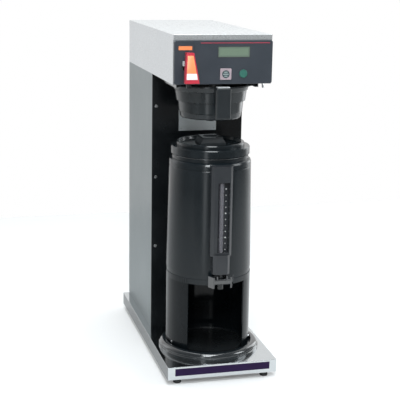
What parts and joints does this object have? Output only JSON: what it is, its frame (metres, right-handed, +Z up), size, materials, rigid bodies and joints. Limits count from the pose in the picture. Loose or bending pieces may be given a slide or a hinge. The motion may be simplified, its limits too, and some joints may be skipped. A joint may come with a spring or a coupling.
{
  "type": "thermal coffee brewer",
  "caption": "Tall steel coffee brewer with a brew funnel on rails, a hot water faucet with a red handle, and a black thermal server on its own stand.",
  "frame": {"origin": "centre of the footprint at floor level, under the feet", "axes": "+Z up, -Y out of the front panel, +X to the right seen from the front"},
  "size_m": [0.25, 0.5652, 0.7576],
  "materials": {
    "case_steel": "brushed",
    "strip": "satin",
    "foot_rubber": "matt",
    "fasteners": "plain",
    "front_steel": "gloss",
    "plate": "satin",
    "panel": "satin",
    "display_glass": "gloss",
    "display": "matt",
    "board": "matt",
    "grey_button": "satin",
    "green_button": "satin",
    "switch": "matt",
    "chrome": "polished",
    "faucet_plastic": "satin",
    "pins": "plain",
    "red_handle": "gloss",
    "tank_steel": "plain",
    "brass": "plain",
    "copper_pipe": "plain",
    "funnel_black": "gloss",
    "server_black": "satin",
    "tray_black": "matt",
    "gauge_glass": "gloss"
  },
  "bodies": {
    "brewer": {"base_plate": "case_steel", "base_strip": "strip", "feet": "foot_rubber", "foot_screws": "fasteners", "trunk_shell": "case_steel", "trunk_front": "front_steel", "data_plate": "plate", "case_screws": "fasteners", "hood_shell": "case_steel", "hood_cover": "case_steel", "hood_floor": "case_steel", "front_panel": "panel", "display_window": "display_glass", "display_module": "display", "control_board": "board", "board_screws": "fasteners", "toggle_switch": "switch", "faucet_body": "faucet_plastic", "faucet_ring": "chrome", "faucet_nut": "faucet_plastic", "faucet_pin": "pins", "tank": "tank_steel", "tank_lid": "tank_steel", "lid_bolts": "fasteners", "tank_bars": "tank_steel", "heater": "tank_steel", "temperature_probe": "tank_steel", "level_probe": "tank_steel", "thermostat": "switch", "brew_valve": "brass", "spray_pipe": "tank_steel", "spray_head": "case_steel", "inlet_valve": "brass", "inlet_fitting": "brass", "refill_pipe": "copper_pipe", "hot_water_pipe": "copper_pipe", "cord_gland": "switch", "funnel_rails": "case_steel"},
    "square_button": {"square_button": "grey_button"},
    "round_button": {"round_button": "green_button"},
    "toggle_lever": {"toggle_lever": "chrome"},
    "faucet_handle": {"faucet_handle": "red_handle"},
    "faucet_stem": {"faucet_stem": "faucet_plastic"},
    "funnel": {"funnel": "funnel_black", "funnel_handle": "funnel_black"},
    "server": {"stand_base": "server_black", "stand_wall": "server_black", "stand_screws": "fasteners", "server_bottom": "server_black", "server_shell": "server_black", "server_liner": "tank_steel", "server_collar": "server_black", "gauge_housing": "server_black", "gauge_tube": "gauge_glass", "server_faucet": "server_black"},
    "server_lid": {"server_lid": "server_black", "lid_grip": "server_black", "mixing_tube": "tray_black"},
    "faucet_lever": {"faucet_lever": "server_black"},
    "drip_tray": {"drip_tray": "tray_black"}
  },
  "joints": [
    {"name": "funnel_slide", "type": "slide", "parent": "brewer", "child": "funnel", "axis": [0, -1, 0], "range_m": [0, 0.2]},
    {"name": "faucet_handle_pull", "type": "hinge", "parent": "brewer", "child": "faucet_handle", "pos_m": [-0.078, -0.24845, 0.7131], "axis": [-1, 0, 0], "range_deg": [0, 30], "stiffness_Nm_per_rad": 0.6, "springref_deg": -17.19},
    {"name": "faucet_stem_lift", "type": "slide", "parent": "brewer", "child": "faucet_stem", "axis": [0, 0, 1], "range_m": [0, 0.0031]},
    {"name": "square_button_press", "type": "slide", "parent": "brewer", "child": "square_button", "axis": [0, 1, 0], "range_m": [0, 0.0012], "stiffness_N_per_m": 400},
    {"name": "round_button_press", "type": "slide", "parent": "brewer", "child": "round_button", "axis": [0, 1, 0], "range_m": [0, 0.0012], "stiffness_N_per_m": 400},
    {"name": "toggle_throw", "type": "hinge", "parent": "brewer", "child": "toggle_lever", "pos_m": [0.0975, -0.19995, 0.6565], "axis": [0, 1, 0], "range_deg": [0, 26]},
    {"name": "server_slide", "type": "slide", "parent": "brewer", "child": "server", "axis": [0, -1, 0], "range_m": [0, 0.25]},
    {"name": "lid_lift", "type": "slide", "parent": "server", "child": "server_lid", "axis": [0, 0, 1], "range_m": [0, 0.022]},
    {"name": "faucet_lever_press", "type": "hinge", "parent": "server", "child": "faucet_lever", "pos_m": [0, -0.24525, 0.231], "axis": [1, 0, 0], "range_deg": [0, 20], "stiffness_Nm_per_rad": 0.3, "springref_deg": -17.19},
    {"name": "tray_lift", "type": "slide", "parent": "server", "child": "drip_tray", "axis": [0, 0, 1], "range_m": [0, 0.015]}
  ],
  "couplings": [
    {"joint": "faucet_stem_lift", "follows": "faucet_handle_pull", "m_per_rad": 0.0057}
  ]
}
